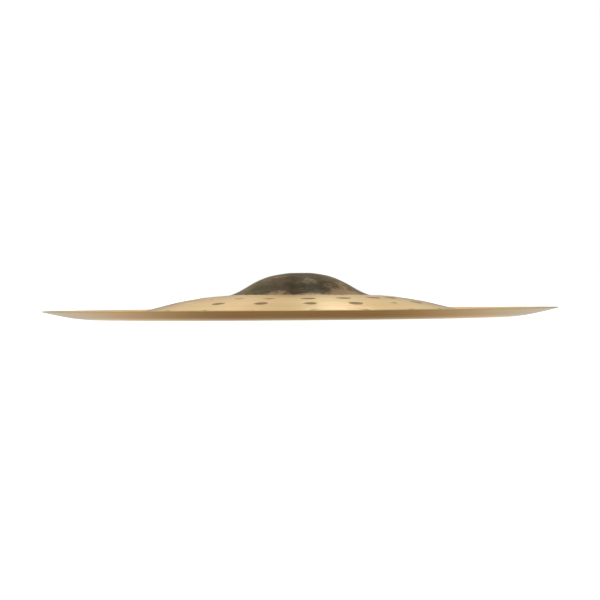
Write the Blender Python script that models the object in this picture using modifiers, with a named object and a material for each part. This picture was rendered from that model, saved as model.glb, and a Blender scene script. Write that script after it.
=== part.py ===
"""Crash cymbal with a turned-up rim: one turned and hammered bronze plate.

+Z is up and the bell points up. The axis of the mounting hole is the Z axis, and the plate
rests on z = 0, on the ring at the bottom of the trough between its bow and its flange.
From the axis outwards, the plate is a flat seat round the hole, the bell, the bow, the
trough and the flange, which rises again to the rim. All of it is one sheet of metal.
"""
import math

import bpy

MM = 0.001

# Driving dimensions, in millimetres
DIAMETER = 457.2            # across the rim, 18 in
HOLE_DIAMETER = 12.7        # mounting hole, 1/2 in
BELL_HEIGHT = 40.55         # top of the bell above the resting plane
SEAT_RADIUS = 8.5           # flat round the hole, above and below
BELL_CROWN_RADIUS = 14.0
BELL_SHOULDER_RADIUS = 24.8
BELL_SIDE_RADIUS = 46.0     # steepest part of the bell
BELL_HOLLOW_RADIUS = 57.0   # where the bell turns hollow, above its foot
BELL_FOOT_RADIUS = 64.0     # where the bell meets the bow
BOW_MIDDLE_RADIUS = 105.0
BOW_END_RADIUS = 150.0
TROUGH_RADIUS = 172.0       # inner edge of the ring that the plate rests on
TROUGH_WIDTH = 3.5
FLANGE_MIDDLE_RADIUS = 205.0
RIM_HEIGHT = 8.75           # upper edge of the rim above the resting plane

# Thickness of the sheet, from the hole to the rim
BELL_THICKNESS = 1.25
TROUGH_THICKNESS = 1.0
RIM_THICKNESS = 0.85

# Flat sides that the turned shape is made of
TURN_STEPS = 64

# Stations along the upper surface: radius, height above the resting plane, slope, and the
# number of straight pieces that lead to the station from the one before it.
UPPER_STATIONS = (
    (HOLE_DIAMETER / 2, BELL_HEIGHT, 0.0, 0),
    (SEAT_RADIUS, BELL_HEIGHT, 0.0, 1),
    (BELL_CROWN_RADIUS, 40.0, -0.15, 1),
    (BELL_SHOULDER_RADIUS, 38.05, -0.25, 2),
    (BELL_SIDE_RADIUS, 28.65, -0.60, 3),
    (BELL_HOLLOW_RADIUS, 22.75, -0.40, 1),
    (BELL_FOOT_RADIUS, 20.65, -0.03, 2),
    (BOW_MIDDLE_RADIUS, 15.9, -0.185, 2),
    (BOW_END_RADIUS, 5.2, -0.20, 3),
    (TROUGH_RADIUS, TROUGH_THICKNESS, 0.0, 2),
    (TROUGH_RADIUS + TROUGH_WIDTH, TROUGH_THICKNESS, 0.0, 1),
    (FLANGE_MIDDLE_RADIUS, 3.55, 0.185, 3),
    (DIAMETER / 2, RIM_HEIGHT, 0.26, 2),
)


def curve_point(start, end, t):
    """Point and slope at share t of the smooth curve between two stations."""
    r0, z0, slope0, _ = start
    r1, z1, slope1, _ = end
    span = r1 - r0
    radius = r0 + span * t
    height = (
        (2 * t**3 - 3 * t**2 + 1) * z0
        + (t**3 - 2 * t**2 + t) * span * slope0
        + (3 * t**2 - 2 * t**3) * z1
        + (t**3 - t**2) * span * slope1
    )
    slope = (
        6 * (t**2 - t) * (z0 - z1) / span
        + (3 * t**2 - 4 * t + 1) * slope0
        + (3 * t**2 - 2 * t) * slope1
    )
    return radius, height, slope


def upper_curve(stations):
    """Points and slopes along the upper surface, from the hole to the rim."""
    points = [stations[0][:3]]
    for start, end in zip(stations[:-1], stations[1:]):
        pieces = end[3]
        points += [curve_point(start, end, i / pieces) for i in range(1, pieces + 1)]
    return points


def thickness_at(radius):
    """Thickness of the sheet: it thins evenly to the trough, and again to the rim."""
    if radius <= TROUGH_RADIUS:
        share = max(0.0, radius - SEAT_RADIUS) / (TROUGH_RADIUS - SEAT_RADIUS)
        return BELL_THICKNESS + (TROUGH_THICKNESS - BELL_THICKNESS) * share
    trough_end = TROUGH_RADIUS + TROUGH_WIDTH
    share = max(0.0, radius - trough_end) / (DIAMETER / 2 - trough_end)
    return TROUGH_THICKNESS + (RIM_THICKNESS - TROUGH_THICKNESS) * share


def under_point(radius, height, slope):
    """Point of the lower surface, one thickness below the upper one along its normal."""
    thickness = thickness_at(radius)
    length = math.hypot(1.0, slope)
    return radius + thickness * slope / length, height - thickness / length


def plate_section():
    """Closed outline of the sheet, out along its top and back along its underside."""
    upper = upper_curve(UPPER_STATIONS)
    top = [(radius, height) for radius, height, _ in upper]
    under = [under_point(*point) for point in upper[1:-1]]
    hole_side = (HOLE_DIAMETER / 2, BELL_HEIGHT - BELL_THICKNESS)
    rim_side = (DIAMETER / 2, RIM_HEIGHT - RIM_THICKNESS)
    return [*top, rim_side, *reversed(under), hole_side]


def turned(name, section, collection):
    """Object made by turning a closed outline, given in millimetres, round the Z axis."""
    mesh = bpy.data.meshes.new(name)
    points = [(radius * MM, 0.0, height * MM) for radius, height in section]
    edges = [(i, (i + 1) % len(points)) for i in range(len(points))]
    mesh.from_pydata(points, edges, [])
    plate = bpy.data.objects.new(name, mesh)
    collection.objects.link(plate)
    screw = plate.modifiers.new("Turn", "SCREW")
    screw.axis = "Z"
    screw.angle = 2 * math.pi
    screw.steps = TURN_STEPS
    screw.render_steps = TURN_STEPS
    screw.use_merge_vertices = True
    screw.merge_threshold = 0.00001
    screw.use_smooth_shade = True
    return plate


def bronze():
    """Cast and hammered bronze, between the dark bell and the pale turned bow."""
    material = bpy.data.materials.new("bronze")
    material.use_nodes = True
    shader = material.node_tree.nodes["Principled BSDF"]
    shader.inputs["Base Color"].default_value = (0.62, 0.45, 0.24, 1.0)
    shader.inputs["Metallic"].default_value = 1.0
    shader.inputs["Roughness"].default_value = 0.35
    return material


def main():
    for item in list(bpy.data.objects):
        bpy.data.objects.remove(item, do_unlink=True)
    collection = bpy.data.collections.new("crash_cymbal")
    bpy.context.scene.collection.children.link(collection)
    plate = turned("cymbal_plate", plate_section(), collection)
    plate.data.materials.append(bronze())


main()
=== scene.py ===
import math

import bpy
import numpy as np
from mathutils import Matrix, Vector, noise


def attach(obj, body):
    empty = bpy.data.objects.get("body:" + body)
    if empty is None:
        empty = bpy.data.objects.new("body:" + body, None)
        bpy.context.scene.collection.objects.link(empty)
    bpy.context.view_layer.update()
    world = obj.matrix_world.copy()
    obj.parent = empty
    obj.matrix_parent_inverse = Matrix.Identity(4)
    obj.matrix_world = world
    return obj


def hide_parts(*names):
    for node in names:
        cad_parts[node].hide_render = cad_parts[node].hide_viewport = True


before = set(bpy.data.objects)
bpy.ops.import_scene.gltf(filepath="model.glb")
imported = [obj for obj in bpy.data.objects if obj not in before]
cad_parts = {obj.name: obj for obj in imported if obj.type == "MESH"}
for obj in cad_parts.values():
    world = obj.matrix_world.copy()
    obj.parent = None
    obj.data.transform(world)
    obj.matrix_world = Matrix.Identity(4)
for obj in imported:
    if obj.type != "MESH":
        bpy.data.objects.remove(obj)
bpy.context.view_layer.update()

# Crash cymbal with a turned-up rim: one hammered and turned bronze plate. The section and
# the hand work are in millimetres. The materials and the scene are in metres. The plate's
# axis is the Z axis, and an azimuth is measured round it from -Y, where the camera is,
# towards +X.

MM = 0.001

# ---------------------------------------------------------------------------------------
# The plate's section, as in the CAD model
# ---------------------------------------------------------------------------------------
RIM_RADIUS = 228.6
HOLE_RADIUS = 6.35
BELL_HEIGHT = 40.55
SEAT_RADIUS = 8.5
BELL_FOOT_RADIUS = 64.0
TROUGH_RADIUS = 172.0
TROUGH_WIDTH = 3.5
BELL_THICKNESS = 1.25
TROUGH_THICKNESS = 1.0
RIM_THICKNESS = 0.85

# Stations along the upper surface: radius, height above the resting plane, slope
STATIONS = np.array((
    (HOLE_RADIUS, BELL_HEIGHT, 0.0),
    (SEAT_RADIUS, BELL_HEIGHT, 0.0),
    (14.0, 40.0, -0.15),
    (24.8, 38.05, -0.25),
    (46.0, 28.65, -0.60),
    (57.0, 22.75, -0.40),
    (BELL_FOOT_RADIUS, 20.65, -0.03),
    (105.0, 15.9, -0.185),
    (150.0, 5.2, -0.20),
    (TROUGH_RADIUS, TROUGH_THICKNESS, 0.0),
    (TROUGH_RADIUS + TROUGH_WIDTH, TROUGH_THICKNESS, 0.0),
    (205.0, 3.55, 0.185),
    (RIM_RADIUS, 8.75, 0.26),
))

# Rings of the mesh: each zone's outer radius, and the spacing of its rings above and below
RING_ZONES = (
    (SEAT_RADIUS, 1.8, 1.8),
    (58.0, 2.4, 4.0),
    (74.0, 1.5, 3.0),
    (146.0, 1.25, 2.4),
    (RIM_RADIUS - 2.0, 2.8, 3.4),
)
SIDES = 480
EDGE_RADIUS = 0.25          # of the broken edges of rim and hole

# ---------------------------------------------------------------------------------------
# Hand work: hammer marks, ripples and the plate's slight lack of truth
# ---------------------------------------------------------------------------------------
SPOKES = 18                 # hammer marks in each ring, one behind the other in spokes
FIRST_SPOKE = 4.3           # azimuth of the first, in degrees
SPOKE_SHIFTS = (            # how far each is out of even spacing, in degrees
    0.0, 0.3, 0.5, -1.2, 0.8, -0.6, 1.1, -1.3, -0.9,
    0.6, -0.2, 0.9, 1.3, -0.7, 0.4, -1.5, -1.3, -1.2,
)
MARK_RINGS = (              # radius of the ring, radius of a mark, usual depth and rawness
    (90.5, 7.1, 0.34, 1.0),
    (113.5, 6.7, 0.40, 1.0),
    (136.5, 6.6, 0.26, 0.35),
)
RAWNESS = {                 # of the marks that differ: (ring, spoke) and how raw it is
    (0, 0): 0.95, (0, 1): 1.1, (0, 2): 1.15, (0, 3): 1.15, (0, 7): 0.3, (0, 12): 0.5,
    (0, 15): 0.2, (0, 16): 0.45, (0, 17): 0.65,
    (1, 0): 0.9, (1, 1): 1.1, (1, 2): 0.3, (1, 3): 1.15, (1, 6): 0.4, (1, 11): 0.6,
    (1, 15): 0.0, (1, 17): 0.95,
    (2, 5): 0.8, (2, 10): 0.0, (2, 17): 0.1,
}
MOVED = {(0, 3): -3.3, (0, 16): 1.2, (1, 16): -1.0}     # further shifts, in degrees
MARK_SEED = 5
PLACE_SPREAD = (-0.8, 0.8)  # how far a mark may be off the radius of its ring
SIZE_SPREAD = (0.95, 1.05)  # range of its radius, as a share of the usual one
DEPTH_SPREAD = (0.8, 1.15)  # and of its depth
RAW_SPREAD = (0.88, 1.0)    # and of its rawness
BOWL_POWER = 1.35           # above 1, so that a mark's bowl meets the sheet softly
LIP_PLACE = 1.12            # middle of the raised lip round a mark, in radii of the mark
LIP_WIDTH = 0.16            # also in radii of the mark
LIP_HEIGHT = 0.12           # in depths of the mark
LENS_WIDTH = 0.74           # half width of a mark's raw patch, in radii of the mark
LENS_POWER = 1.6            # below 2, so that the patch's two ends are pointed

WORN_PATCHES = (            # on the bell: azimuth, radius, half sizes along both, strength
    (43.0, 57.0, 27.0, 9.5, 1.0),
    (-19.0, 58.5, 15.0, 6.5, 0.9),
    (8.0, 59.5, 18.0, 4.5, 0.8),
    (24.0, 37.0, 36.0, 9.0, 0.2),
    (52.0, 45.0, 34.0, 10.0, 0.3),
    (-42.0, 30.0, 30.0, 9.0, 0.15),
    (95.0, 58.0, 26.0, 6.0, 0.7),
    (150.0, 55.0, 18.0, 7.0, 0.9),
    (205.0, 59.0, 22.0, 5.0, 0.7),
    (270.0, 57.0, 16.0, 6.0, 0.8),
)
WEAR_GAIN = 1.6             # how soon a patch reaches its full strength from its edge

WARP = 0.20                 # how far the plate is bent up on its -X side and down on +X
WARP_START = (8.0, 40.0)    # radii between which the bend sets in
BELL_LEAN = 0.25            # how far the bell's side is proud towards -X
LEAN_START = (14.0, 40.0)   # radii between which that sets in
LEAN_END = (60.0, 72.0)     # and between which it ends
RIPPLE_HEIGHT = 0.16        # of the soft ripples that hammering leaves
RIPPLE_LENGTH = 34.0
RIPPLE_SLICE = 3.7          # height at which the noise in space is sliced for them
RIPPLE_START = (62.0, 80.0)     # radii between which they set in
RIPPLE_EASE = (150.0, 175.0)    # radii between which they sink to half


def smooth(low, high, value):
    """0 below low, 1 above high, and a smooth step between them."""
    t = np.clip((value - low) / (high - low), 0.0, 1.0)
    return t * t * (3.0 - 2.0 * t)


def section(radius):
    """Height and slope of the true upper surface, for an array of radii."""
    last = len(STATIONS) - 2
    span = np.clip(np.searchsorted(STATIONS[:, 0], radius, side="right") - 1, 0, last)
    r0, z0, slope0 = STATIONS[span].T
    r1, z1, slope1 = STATIONS[span + 1].T
    width = r1 - r0
    t = (radius - r0) / width
    height = (
        (2 * t**3 - 3 * t**2 + 1) * z0
        + (t**3 - 2 * t**2 + t) * width * slope0
        + (3 * t**2 - 2 * t**3) * z1
        + (t**3 - t**2) * width * slope1
    )
    slope = (
        6 * (t**2 - t) * (z0 - z1) / width
        + (3 * t**2 - 4 * t + 1) * slope0
        + (3 * t**2 - 2 * t) * slope1
    )
    return height, slope


def thickness(radius):
    """Thickness of the sheet: it thins evenly to the trough, and again to the rim."""
    radii = (SEAT_RADIUS, TROUGH_RADIUS, TROUGH_RADIUS + TROUGH_WIDTH, RIM_RADIUS)
    values = (BELL_THICKNESS, TROUGH_THICKNESS, TROUGH_THICKNESS, RIM_THICKNESS)
    return np.interp(radius, radii, values)


def hammer_marks():
    """Every hammer mark as its place, its radius, its depth and how raw it is: 1 where the
    lathe left the whole of it, and 0 where it cut all of it bright."""
    chance = np.random.default_rng(MARK_SEED)
    for ring, (ring_radius, mark_radius, depth, rawness) in enumerate(MARK_RINGS):
        for spoke, shift in enumerate(SPOKE_SHIFTS):
            turn = FIRST_SPOKE + 360 / SPOKES * spoke + shift + MOVED.get((ring, spoke), 0.0)
            azimuth = math.radians(turn)
            radius = ring_radius + chance.uniform(*PLACE_SPREAD)
            yield (
                (radius * math.sin(azimuth), -radius * math.cos(azimuth)),
                mark_radius * chance.uniform(*SIZE_SPREAD),
                depth * chance.uniform(*DEPTH_SPREAD),
                RAWNESS.get((ring, spoke), rawness * chance.uniform(*RAW_SPREAD)),
            )


def mark_fields(x, y):
    """Depth of the hammer marks at each place, below zero on their raised lips, and how far
    inside the raw patch of a mark it is: 0 at the patch's edge, which is a lens along the
    ring, and up to 1 at its middle."""
    depth = np.zeros_like(x)
    raw = np.full_like(x, -1.0)
    for place, radius, deepest, rawness in hammer_marks():
        outward = np.array(place) / math.hypot(*place)
        across = (x - place[0]) * outward[0] + (y - place[1]) * outward[1]
        along = (y - place[1]) * outward[0] - (x - place[0]) * outward[1]
        near = np.hypot(across, along) / radius
        bowl = np.clip(1.0 - near**2, 0.0, 1.0) ** BOWL_POWER
        lip = np.exp(-(((near - LIP_PLACE) / LIP_WIDTH) ** 2))
        depth += deepest * (bowl - LIP_HEIGHT * lip)
        sides = np.abs(across / (LENS_WIDTH * radius)) ** LENS_POWER
        raw = np.maximum(raw, rawness - (along / radius) ** 2 - sides)
    return depth, raw


def bell_wear(x, y):
    """How far the raw skin of the bell is worn through at each place."""
    azimuth = np.degrees(np.arctan2(x, -y))
    radius = np.hypot(x, y)
    worn = np.zeros_like(x)
    for middle, middle_radius, wide, deep, strength in WORN_PATCHES:
        turn = (azimuth - middle + 180.0) % 360.0 - 180.0
        inside = 1.0 - np.hypot(turn / wide, (radius - middle_radius) / deep)
        worn = np.maximum(worn, strength * np.clip(WEAR_GAIN * inside, 0.0, 1.0))
    return worn


def ripple(x, y):
    """Height of the soft ripples of the hammered sheet at each place."""
    places = np.stack([x, y], axis=-1).reshape(-1, 2) / RIPPLE_LENGTH
    heights = [noise.noise((px, py, RIPPLE_SLICE)) for px, py in places]
    radius = np.hypot(x, y)
    share = smooth(*RIPPLE_START, radius) * (1.0 - 0.5 * smooth(*RIPPLE_EASE, radius))
    return RIPPLE_HEIGHT * np.array(heights).reshape(x.shape) * share


def out_of_true(x, y):
    """How far the whole sheet is bent up at each place."""
    radius = np.hypot(x, y)
    bell_side = smooth(*LEAN_START, radius) * (1.0 - smooth(*LEAN_END, radius))
    lean = BELL_LEAN * -x / radius * bell_side
    return lean - WARP * np.sin(math.pi * x / RIM_RADIUS) * smooth(*WARP_START, radius)


def side_radii(side):
    """Radii of the rings of one side, 0 above and 1 below, from the broken edge of the hole
    to that of the rim."""
    radii = [HOLE_RADIUS + EDGE_RADIUS]
    for outer, *spacings in RING_ZONES:
        steps = max(1, round((outer - radii[-1]) / spacings[side]))
        radii += list(np.linspace(radii[-1], outer, steps + 1)[1:])
    return radii + [RIM_RADIUS - EDGE_RADIUS]


def edge_rings(edge, inward, sheet):
    """Rings round the broken edge of a sheet this thick, from its upper side down. inward is
    1 where the metal lies outside the edge, and -1 where it lies inside it."""
    corner = (1.0 - math.sqrt(0.5)) * EDGE_RADIUS
    return [
        (edge + inward * corner, corner / sheet),
        (edge, EDGE_RADIUS / sheet),
        (edge, 1.0 - EDGE_RADIUS / sheet),
        (edge + inward * corner, 1.0 - corner / sheet),
    ]


def section_rings():
    """The section's outline as rings: each ring's radius, and how far through the sheet it
    lies, from 0 on the upper side to 1 on the under side."""
    top = [(radius, 0.0) for radius in side_radii(0)]
    rim = edge_rings(RIM_RADIUS, -1.0, RIM_THICKNESS)
    under = [(radius, 1.0) for radius in reversed(side_radii(1))]
    hole = reversed(edge_rings(HOLE_RADIUS, 1.0, BELL_THICKNESS))
    return np.array([*top, *rim, *under, *hole]).T


def grid_faces(rings, sides):
    """Quads of a grid that closes on itself both ways, as a hollow ring does."""
    ring = np.arange(rings)[:, None]
    side = np.arange(sides)[None, :]
    next_ring = (ring + 1) % rings
    next_side = (side + 1) % sides
    corners = [
        ring * sides + side,
        next_ring * sides + side,
        next_ring * sides + next_side,
        ring * sides + next_side,
    ]
    return np.stack(corners, axis=-1).reshape(-1, 4)


def add_attribute(mesh, name, values):
    attribute = mesh.attributes.new(name, "FLOAT", "POINT")
    attribute.data.foreach_set("value", values.astype(np.float32).ravel())


def cymbal_plate():
    """The plate as one closed mesh, with the raw patches of its hammer marks and the wear of
    its bell as attributes for its material."""
    radius, through = section_rings()
    height, slope = section(radius)
    length = np.hypot(1.0, slope)
    depth = through * thickness(radius)
    shown_radius = (radius + depth * slope / length)[:, None]
    azimuth = np.arange(SIDES) * (2 * math.pi / SIDES)
    x = radius[:, None] * np.sin(azimuth)
    y = -radius[:, None] * np.cos(azimuth)
    dents, raw = mark_fields(x, y)
    raw = np.where(through[:, None] < 0.5, raw, -1.0)   # the lathe cuts their proud backs
    lift = out_of_true(x, y) + ripple(x, y) - dents
    points = np.stack([
        shown_radius * np.sin(azimuth),
        -shown_radius * np.cos(azimuth),
        (height - depth / length)[:, None] + lift,
    ], axis=-1) * MM
    mesh = bpy.data.meshes.new("cymbal_plate_hammered")
    faces = grid_faces(len(radius), SIDES)
    mesh.from_pydata(points.reshape(-1, 3).tolist(), [], faces.tolist())
    add_attribute(mesh, "raw_mark", raw)
    add_attribute(mesh, "worn", bell_wear(x, y))
    mesh.shade_smooth()
    mesh.validate()
    plate = bpy.data.objects.new("cymbal_plate_hammered", mesh)
    bpy.context.scene.collection.objects.link(plate)
    return plate


# ---------------------------------------------------------------------------------------
# Materials
# ---------------------------------------------------------------------------------------
TURNED_COPPER = ((0.64, 0.42, 0.195, 1.0), (0.86, 0.60, 0.305, 1.0))    # dark, light rings
TURNED_BRASS = ((0.60, 0.435, 0.20, 1.0), (0.82, 0.62, 0.31, 1.0))
SKIN_DARK = (0.066, 0.048, 0.027, 1.0)
SKIN_BROWN = (0.142, 0.093, 0.052, 1.0)
SKIN_OLIVE = (0.124, 0.103, 0.056, 1.0)
SKIN_FLECK = (0.26, 0.22, 0.16, 1.0)
WORN_COPPER = (0.42, 0.28, 0.155, 1.0)
MARK_EDGE = (0.36, 0.230, 0.095, 1.0)
MARK_MIDDLE = (0.215, 0.134, 0.052, 1.0)
GRAZING_TINT = (0.98, 0.87, 0.68, 1.0)

LATHE_STOP = (0.0610, 0.0618)       # radii between which raw skin gives way to turned metal
LATHE_STOP_RAGGED = 0.004           # how far that edge wanders in and out
MARK_RAGGED = 0.8                   # how much the edge of a mark's raw patch wanders
CROWN_DARK = (0.014, 0.040, 0.6, 0.0)   # two radii, and how dark the crown is at each
GROOVE_HEIGHT = 0.00003             # of the broad grooves
FINE_GROOVES = 0.5                  # height of the fine grooves, in heights of a broad one
GRAIN = 6.0                         # the same for the grain of the raw metal

WHITE = (1.0, 1.0, 1.0, 1.0)
FLOOR_PALE = ((0.80, 0.80, 0.80, 1.0), (0.84, 0.84, 0.84, 1.0))
# Painted reflection: the plate mirrors a grey floor whose glow is a painted warm bounce light or a
# painted cool tint
REFLECTED_FLOOR_PAINTED_DIM = (0.35, 0.35, 0.35, 1.0)
PAINTED_BOUNCE_WARM = (1.0, 0.82, 0.64, 1.0)
PAINTED_GLOW_COOL = (0.90, 1.10, 1.45, 1.0)
WALL_COOL = (0.88, 1.0, 1.22, 1.0)

# Fades of the floor's glow, which paints light and shade near the plate: two distances, and the
# strength at each
# Painted shade: the glow the plate mirrors is dim near it, and brighter beside it and far off
REFLECTED_SHADE_BESIDE = (0.05, 0.20, 0.24, 0.58)      # distances from the plane x = 0
REFLECTED_SHADE_FAR_OFF = (0.3, 1.6, 0.24, 0.7)        # distances from the axis, and so below
# A painted pool of light right under the plate, seen only in its reflections
PAINTED_LIGHT_UNDERNEATH = (0.184, 0.202, 0.30, 0.0)
# A painted shadow: the glow the camera sees is dim under the plate
SHOWN_GLOW_PAINTED_SHADOW = (0.05, 0.19, 0.05, 0.92)
# Where the glow the plate mirrors turns from painted warm bounce light to a cool tint
PAINTED_COOL_BESIDE = (0.04, 0.24, 0.0, 1.0)        # distances from the plane x = 0
PAINTED_COOL_UNDERNEATH = (0.186, 0.203, 1.0, 0.0)

# Fades of the studio: two heights of the direction one looks in, and the strength at each
WALL_BEHIND = (-0.1, 0.85, 0.25, 1.0)       # towards +Y instead of up
WALL_HIGH = (0.14, 0.42, 0.25, 0.85)
WALL_LOW = (0.06, 0.42, 0.22, 1.12)
CEILING = (0.45, 0.85, 1.0, 0.38)
WALL_WHITE = (0.10, 0.40, 0.0, 1.0)


class Nodes:
    """Adds nodes to a node tree and links them, from plain values or other sockets."""

    def __init__(self, tree):
        self.tree = tree
        tree.nodes.clear()

    def add(self, kind, inputs=None, **settings):
        node = self.tree.nodes.new(kind)
        for name, value in settings.items():
            setattr(node, name, value)
        for key, value in (inputs or {}).items():
            self.give(node.inputs[key], value)
        return node

    def give(self, socket, value):
        if isinstance(value, bpy.types.NodeSocket):
            self.tree.links.new(value, socket)
        else:
            socket.default_value = value

    def math(self, operation, *values):
        node = self.add("ShaderNodeMath", operation=operation)
        for socket, value in zip(node.inputs, values):
            self.give(socket, value)
        return node.outputs[0]

    def length(self, vector):
        node = self.add("ShaderNodeVectorMath", {0: vector}, operation="LENGTH")
        return node.outputs["Value"]

    def shake(self, value, chance, middle, width):
        """value, moved up or down by width times how far chance is from middle."""
        away = self.math("SUBTRACT", chance, middle)
        return self.math("ADD", value, self.math("MULTIPLY", away, width))

    def fade(self, value, low, high, start=0.0, end=1.0):
        """start where value is low or less, end where it is high or more."""
        inputs = {"Value": value, "From Min": low, "From Max": high, "To Min": start, "To Max": end}
        node = self.add("ShaderNodeMapRange", inputs, interpolation_type="SMOOTHSTEP")
        return node.outputs["Result"]

    def mix(self, share, one, other):
        node = self.add("ShaderNodeMix", {"Factor": share}, data_type="RGBA")
        for socket, value in zip((s for s in node.inputs if s.type == "RGBA"), (one, other)):
            self.give(socket, value)
        return next(s for s in node.outputs if s.type == "RGBA")

    def blend(self, share, one, other):
        node = self.add("ShaderNodeMix", {0: share, 2: one, 3: other}, data_type="FLOAT")
        return node.outputs[0]

    def noise(self, place, scale, detail=3.0, roughness=0.55):
        inputs = {"Vector": place, "Scale": scale, "Detail": detail, "Roughness": roughness}
        return self.add("ShaderNodeTexNoise", inputs).outputs["Fac"]


def new_material(name):
    """A material, and the Nodes that fill it."""
    material = bpy.data.materials.new(name)
    material.use_nodes = True
    return material, Nodes(material.node_tree)


def turned_surface(n, place, radius):
    """Colour, roughness and height of the turned metal: rings of slightly different tone,
    in patches that lean to copper or to brass."""
    ring_place = n.add("ShaderNodeCombineXYZ", {"X": radius}).outputs[0]
    bands = n.noise(ring_place, 240.0, detail=2.0)
    fine_rings = n.noise(ring_place, 1500.0, detail=2.0)
    tone = n.blend(0.4, n.fade(bands, 0.3, 0.7), n.noise(place, 22.0))
    brassy = n.fade(n.noise(place, 30.0, detail=2.0), 0.38, 0.62)
    colour = n.mix(brassy, n.mix(tone, *TURNED_COPPER), n.mix(tone, *TURNED_BRASS))
    roughness = n.math("ADD", 0.24, n.math("MULTIPLY", fine_rings, 0.12))
    height = n.math("ADD", n.math("MULTIPLY", fine_rings, FINE_GROOVES), bands)
    return colour, roughness, height


def bell_skin(n, place, radius, ragged):
    """Colour of the bell's raw skin: mottled, darker at the crown, and worn to copper brown
    in patches."""
    mottle = n.noise(place, 95.0, detail=7.0, roughness=0.68)
    olive = n.fade(n.noise(place, 24.0, detail=2.0), 0.40, 0.60)
    skin_tone = n.mix(olive, SKIN_BROWN, SKIN_OLIVE)
    skin = n.mix(n.fade(mottle, 0.36, 0.62), SKIN_DARK, skin_tone)
    skin = n.mix(n.fade(radius, *CROWN_DARK), skin, SKIN_DARK)
    flecks = n.math("MULTIPLY", n.fade(n.noise(place, 620.0, detail=2.0), 0.60, 0.70), 0.5)
    skin = n.mix(flecks, skin, SKIN_FLECK)
    worn = n.add("ShaderNodeAttribute", attribute_name="worn").outputs["Fac"]
    speckle = n.math("ADD", n.math("MULTIPLY", mottle, 0.6), n.math("MULTIPLY", ragged, 0.4))
    patchy = n.fade(n.shake(worn, speckle, 0.52, 3.2), 0.0, 0.9, 0.0, 0.85)
    wear = n.math("MULTIPLY", n.fade(worn, 0.0, 0.15), patchy)
    return n.mix(wear, skin, WORN_COPPER)


def bronze_material():
    """Bell bronze: raw and dark on the bell and in the hammer marks, and turned bright in
    fine rings elsewhere."""
    material, n = new_material("bell_bronze")
    place = n.add("ShaderNodeTexCoord").outputs["Object"]
    flat = n.add("ShaderNodeVectorMath", {0: place, 1: (1.0, 1.0, 0.0)}, operation="MULTIPLY")
    radius = n.length(flat.outputs[0])

    # Where the lathe didn't reach
    ragged = n.noise(place, 260.0, detail=4.0)
    foot = n.shake(radius, ragged, 0.5, LATHE_STOP_RAGGED)
    raw_bell = n.fade(foot, *LATHE_STOP, 1.0, 0.0)
    mark = n.add("ShaderNodeAttribute", attribute_name="raw_mark").outputs["Fac"]
    reach = n.shake(mark, ragged, 0.5, MARK_RAGGED)
    raw = n.math("MAXIMUM", raw_bell, n.fade(reach, -0.05, 0.10))

    # The metal there, and elsewhere
    mark_colour = n.mix(n.fade(reach, 0.05, 0.6), MARK_EDGE, MARK_MIDDLE)
    raw_colour = n.mix(raw_bell, mark_colour, bell_skin(n, place, radius, ragged))
    raw_roughness = n.blend(raw_bell, 0.38, 0.5)
    raw_height = n.math("MULTIPLY", n.noise(place, 420.0, detail=5.0), GRAIN)
    turned_colour, turned_roughness, turned_height = turned_surface(n, place, radius)

    height = n.blend(raw, turned_height, raw_height)
    bump = n.add("ShaderNodeBump", {"Height": height, "Distance": GROOVE_HEIGHT, "Strength": 1.0})
    tangent = n.add("ShaderNodeTangent", direction_type="RADIAL", axis="Z")
    shader = n.add("ShaderNodeBsdfPrincipled", {
        "Base Color": n.mix(raw, turned_colour, raw_colour),
        "Roughness": n.blend(raw, turned_roughness, raw_roughness),
        "Normal": bump.outputs[0],
        "Tangent": tangent.outputs[0],
        "Metallic": 1.0,
        "Specular Tint": GRAZING_TINT,
        "Anisotropic": 0.6,
        "Anisotropic Rotation": 0.25,
    })
    n.add("ShaderNodeOutputMaterial", {"Surface": shader.outputs[0]})
    return material


def floor_material():
    """Pale floor. The camera sees it glow white, with a painted soft shadow under the plate.
    The plate mirrors a dimmer glow, painted shade that grows towards the sides, far off and,
    as a painted pool of light, right under the plate; painted bounce light makes it warm
    before and behind the plate, and it is cool elsewhere."""
    material, n = new_material("pale_floor")
    place = n.add("ShaderNodeTexCoord").outputs["Object"]
    radius = n.length(place)
    sideways = n.math("ABSOLUTE", n.add("ShaderNodeSeparateXYZ", {0: place}).outputs["X"])
    seen = n.add("ShaderNodeLightPath").outputs["Is Camera Ray"]

    # Painted shade and light for the plate's reflections: dim near the plate, brighter beside it
    # and far off, and a painted pool of light right under it
    reflected_glow_and_shade = n.math("MAXIMUM", n.fade(sideways, *REFLECTED_SHADE_BESIDE), n.fade(radius, *REFLECTED_SHADE_FAR_OFF))
    painted_reflected_glow = n.math("ADD", reflected_glow_and_shade, n.fade(radius, *PAINTED_LIGHT_UNDERNEATH))
    # Painted shadow: the camera sees the glow dim under the plate
    shown = n.fade(radius, *SHOWN_GLOW_PAINTED_SHADOW)
    # Painted bounce light: warm before and behind the plate, cool beside and under it
    cool = n.math("MAXIMUM", n.fade(sideways, *PAINTED_COOL_BESIDE), n.fade(radius, *PAINTED_COOL_UNDERNEATH))
    glow = n.mix(cool, PAINTED_BOUNCE_WARM, PAINTED_GLOW_COOL)
    pale = n.mix(n.noise(place, 40.0), *FLOOR_PALE)
    shader = n.add("ShaderNodeBsdfPrincipled", {
        "Base Color": n.mix(seen, REFLECTED_FLOOR_PAINTED_DIM, pale),
        "Roughness": 0.9,
        "Emission Color": n.mix(seen, glow, WHITE),
        "Emission Strength": n.blend(seen, painted_reflected_glow, shown),
    })
    n.add("ShaderNodeOutputMaterial", {"Surface": shader.outputs[0]})
    return material


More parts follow.
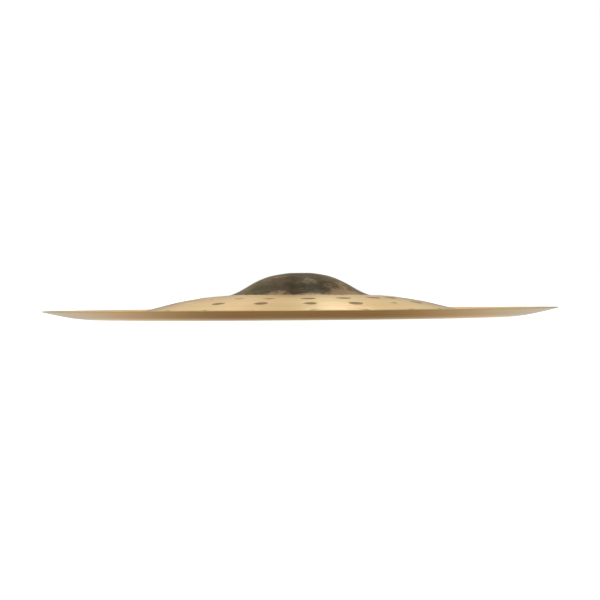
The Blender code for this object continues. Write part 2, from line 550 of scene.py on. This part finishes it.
# ---------------------------------------------------------------------------------------
# Scene
# ---------------------------------------------------------------------------------------
FLOOR_SIZE = 80.0
FLOOR_GAP = 0.0002          # between the floor and the plate's lowest point
CAMERA_DISTANCE = 2.66
CAMERA_HEIGHT = 0.0202
AIM_HEIGHT = 0.0166
FRAME_WIDTH = 0.5322        # of what the camera sees at the plate's axis
SENSOR_WIDTH = 36.0         # mm
CAMERA_ROLL = 0.53          # degrees
SOFTBOX_COLOUR = (0.75, 0.92, 1.40)
FILL_COLOUR = (1.0, 1.0, 1.0)
LIGHTS = (                  # name, place, width and height, power, colour
    ("softbox_right", (0.20, 1.2, 1.56), (0.16, 0.6), 2.2, SOFTBOX_COLOUR),
    ("softbox_left", (-0.42, 1.2, 1.54), (0.25, 0.6), 1.4, SOFTBOX_COLOUR),
    ("front_fill", (0.0, -1.2, 2.0), (1.8, 1.2), 8.0, FILL_COLOUR),
)


def add_floor(level):
    bpy.ops.mesh.primitive_grid_add(x_subdivisions=8, y_subdivisions=8, size=FLOOR_SIZE)
    floor = bpy.context.object
    floor.name = "floor"
    floor.location.z = level
    floor.data.materials.append(floor_material())


def add_camera():
    data = bpy.data.cameras.new("camera")
    data.sensor_width = SENSOR_WIDTH
    data.lens = SENSOR_WIDTH * CAMERA_DISTANCE / FRAME_WIDTH
    data.clip_end = 200.0
    camera = bpy.data.objects.new("camera", data)
    camera.location = (0.0, -CAMERA_DISTANCE, CAMERA_HEIGHT)
    aim = Vector((0.0, 0.0, AIM_HEIGHT)) - camera.location
    camera.rotation_euler = aim.to_track_quat("-Z", "Y").to_euler()
    camera.rotation_euler.rotate_axis("Z", math.radians(-CAMERA_ROLL))
    bpy.context.scene.collection.objects.link(camera)
    bpy.context.scene.camera = camera


def add_light(name, place, size, power, colour):
    """An area light aimed at the point of the axis that lies on the resting plane."""
    data = bpy.data.lights.new(name, "AREA")
    data.color = colour
    data.shape = "RECTANGLE"
    data.size, data.size_y = size
    data.energy = power
    light = bpy.data.objects.new(name, data)
    light.location = place
    light.rotation_euler = (-light.location).to_track_quat("-Z", "Y").to_euler()
    bpy.context.scene.collection.objects.link(light)


def add_world():
    """A plain white backdrop for the camera. The plate mirrors a studio that is bright on
    the wall behind the plate and high on the other walls, and dim on its ceiling and, in a
    cooler white, low on its walls."""
    world = bpy.data.worlds.new("studio")
    bpy.context.scene.world = world
    world.use_nodes = True
    n = Nodes(world.node_tree)
    direction = n.add("ShaderNodeTexCoord").outputs["Generated"]
    axes = n.add("ShaderNodeSeparateXYZ", {0: direction}).outputs
    seen = n.add("ShaderNodeLightPath").outputs["Is Camera Ray"]

    up = axes["Z"]
    wall = n.math("MAXIMUM", n.fade(axes["Y"], *WALL_BEHIND), n.fade(up, *WALL_HIGH))
    dimming = n.math("MULTIPLY", n.fade(up, *WALL_LOW), n.fade(up, *CEILING))
    studio = n.math("MULTIPLY", wall, dimming)
    tint = n.mix(n.fade(up, *WALL_WHITE), WALL_COOL, WHITE)
    shader = n.add("ShaderNodeBackground", {
        "Color": n.mix(seen, tint, WHITE),
        "Strength": n.blend(seen, studio, 1.0),
    })
    n.add("ShaderNodeOutputWorld", {"Surface": shader.outputs[0]})


plate = cymbal_plate()
plate.data.materials.append(bronze_material())
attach(plate, "root")
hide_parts("cymbal_plate")

lowest = min(vertex.co.z for vertex in plate.data.vertices)
add_floor(lowest - FLOOR_GAP)
add_world()
for light in LIGHTS:
    add_light(*light)
add_camera()

bpy.context.scene.view_settings.view_transform = "Standard"
bpy.context.scene.view_settings.look = "None"
